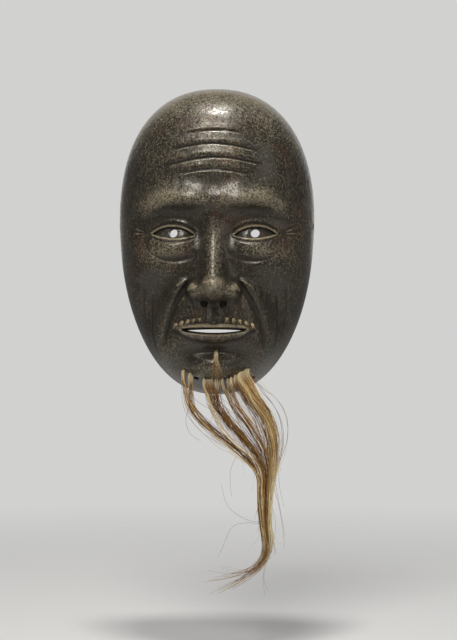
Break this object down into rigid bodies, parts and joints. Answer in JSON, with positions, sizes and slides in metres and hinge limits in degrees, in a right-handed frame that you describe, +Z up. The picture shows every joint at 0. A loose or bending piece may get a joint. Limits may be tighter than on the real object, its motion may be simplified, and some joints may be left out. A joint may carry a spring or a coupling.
{
  "type": "noh mask",
  "caption": "Hollow carved wooden theatre mask of a calm old man, with pierced eyes, nostrils and mouth, side cord holes, and a swept horsehair beard that swings.",
  "frame": {"origin": "centre of the opening in the flat back rim, halfway up the mask, on the rim plane", "axes": "+Z up towards the crown, +X to the right of someone facing the mask, +Y out of the back; the face looks along -Y"},
  "size_m": [0.1332, 0.0736, 0.3373],
  "materials": {
    "lacquered_wood": "worn brown-black lacquer, satin with glossy high spots",
    "peg_wood": "bare whittled wood",
    "horsehair": "golden-brown horsehair, lightly glossy"
  },
  "bodies": {
    "mask": {"mask_shell": "lacquered_wood", "tuft_roots": "horsehair", "tuft_pegs": "peg_wood", "moustache_left": "horsehair", "moustache_right": "horsehair"},
    "beard": {"chin_tuft_1": "horsehair", "chin_tuft_2": "horsehair", "chin_tuft_3": "horsehair", "chin_tuft_4": "horsehair", "chin_tuft_5": "horsehair", "chin_tuft_6": "horsehair", "chin_tuft_7": "horsehair", "chin_tuft_8": "horsehair", "chin_tuft_9": "horsehair", "chin_tuft_10": "horsehair"},
    "lock": {"beard_lock": "horsehair"},
    "tip": {"beard_tip": "horsehair"},
    "lip_hair": {"lip_tuft": "horsehair"}
  },
  "joints": [
    {"name": "beard_swing", "type": "hinge", "parent": "mask", "child": "beard", "pos_m": [0, -0.051, -0.098], "axis": [1, 0, 0], "range_deg": [-55, 35]},
    {"name": "lock_sway", "type": "hinge", "parent": "beard", "child": "lock", "pos_m": [0.034, -0.051, -0.159], "axis": [0, 1, 0], "range_deg": [-25, 25]},
    {"name": "tip_swing", "type": "hinge", "parent": "lock", "child": "tip", "pos_m": [0.035, -0.051, -0.201], "axis": [1, 0, 0], "range_deg": [-35, 35]},
    {"name": "lip_tuft_swing", "type": "hinge", "parent": "mask", "child": "lip_hair", "pos_m": [0.0015, -0.0548, -0.0791], "axis": [1, 0, 0], "range_deg": [-50, 3]}
  ]
}
